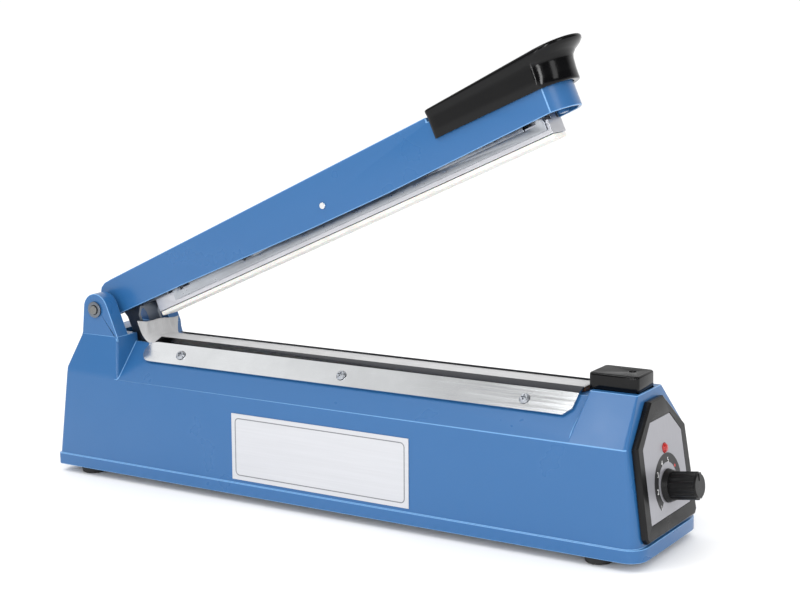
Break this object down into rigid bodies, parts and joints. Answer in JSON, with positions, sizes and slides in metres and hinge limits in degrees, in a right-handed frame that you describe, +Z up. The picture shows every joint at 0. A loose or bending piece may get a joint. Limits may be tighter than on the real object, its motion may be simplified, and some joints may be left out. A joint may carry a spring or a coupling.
{
  "type": "impulse heat sealer",
  "caption": "Hand-lever impulse heat sealer: long tapered base with a cloth-covered sealing bed, hinged press arm, push-button switch and timer dial on the end panel.",
  "frame": {"origin": "centre of the bounding box at the level of the feet, arm open as in the rest pose", "axes": "+X runs along the body from the hinge to the control panel, +Y to the rear, +Z up; the front wall faces -Y"},
  "size_m": [0.45, 0.0812, 0.2877],
  "materials": {
    "body_paint": "smooth satin blue enamel",
    "black_plastic": "moulded black plastic, low sheen",
    "rubber": "matt moulded rubber",
    "zinc_steel": "zinc-plated steel",
    "bright_steel": "polished stainless steel",
    "dark_steel": "dark plated sheet steel",
    "aluminium": "extruded aluminium, satin",
    "silicone": "pale silicone rubber",
    "ptfe": "coated glass cloth, slightly glossy",
    "bakelite": "heat-resistant laminate",
    "brass": "plain brass",
    "label": "silver-grey printed film, lettering left out",
    "board": "green circuit board",
    "winding": "taped copper winding",
    "laminations": "varnished steel laminations",
    "lamp_red": "clear red lens",
    "relay_plastic": "blue relay case"
  },
  "bodies": {
    "base": {"base_housing": "body_paint", "hinge_spacer_front": "body_paint", "hinge_spacer_rear": "body_paint", "panel_bezel": "black_plastic", "microswitch": "black_plastic", "board_post_front": "black_plastic", "board_post_rear": "black_plastic", "capacitor": "black_plastic", "cord_inlet": "black_plastic", "foot_front_left": "rubber", "foot_front_right": "rubber", "foot_rear_left": "rubber", "foot_rear_right": "rubber", "bottom_plate": "zinc_steel", "transformer_strap": "zinc_steel", "potentiometer": "zinc_steel", "return_spring": "zinc_steel", "spring_anchor": "zinc_steel", "foot_screw_front_left": "zinc_steel", "foot_screw_front_right": "zinc_steel", "foot_screw_rear_left": "zinc_steel", "foot_screw_rear_right": "zinc_steel", "clamp_screw_front_1": "zinc_steel", "clamp_screw_front_2": "zinc_steel", "clamp_screw_front_3": "zinc_steel", "clamp_screw_rear_1": "zinc_steel", "clamp_screw_rear_2": "zinc_steel", "clamp_screw_rear_3": "zinc_steel", "clamp_plate_front": "bright_steel", "clamp_plate_rear": "bright_steel", "hinge_pin": "bright_steel", "heating_element": "bright_steel", "pin_clip_front": "dark_steel", "pin_clip_rear": "dark_steel", "ptfe_cloth": "ptfe", "work_bed": "bakelite", "element_terminal_left": "brass", "element_terminal_right": "brass", "panel_label": "label", "rating_label": "label", "timer_board": "board", "transformer_coil": "winding", "transformer_core": "laminations", "indicator_lamp": "lamp_red", "relay": "relay_plastic"},
    "arm": {"arm_shell": "body_paint", "arm_handle": "black_plastic", "handle_screw_front": "zinc_steel", "handle_screw_rear": "zinc_steel", "switch_striker": "body_paint", "lever_bracket": "dark_steel", "spring_pin": "zinc_steel", "rocker_pin": "bright_steel"},
    "press_rocker": {"press_channel": "zinc_steel", "press_bar": "aluminium", "silicone_strip": "silicone"},
    "button": {"switch_button": "black_plastic"},
    "dial": {"knob": "black_plastic", "potentiometer_shaft": "aluminium"}
  },
  "joints": [
    {"name": "arm_hinge", "type": "hinge", "parent": "base", "child": "arm", "pos_m": [-0.18935, 0, 0.112], "axis": [0, 1, 0], "range_deg": [0, 22.9], "stiffness_Nm_per_rad": 1.6, "springref_deg": -80.21, "deforming": ["return_spring"]},
    {"name": "press_bar_rock", "type": "hinge", "parent": "arm", "child": "press_rocker", "pos_m": [-0.01282, 0, 0.18768], "axis": [0, 1, 0], "range_deg": [-0.12, 0.12], "stiffness_Nm_per_rad": 6},
    {"name": "button_press", "type": "slide", "parent": "base", "child": "button", "axis": [0, 0, -1], "range_m": [0, 0.0025], "stiffness_N_per_m": 450, "springref_m": -0.002},
    {"name": "knob_turn", "type": "hinge", "parent": "base", "child": "dial", "pos_m": [0.20099, 0, 0.039], "axis": [0.9911, 0, 0.1328], "range_deg": [-135, 135]}
  ]
}
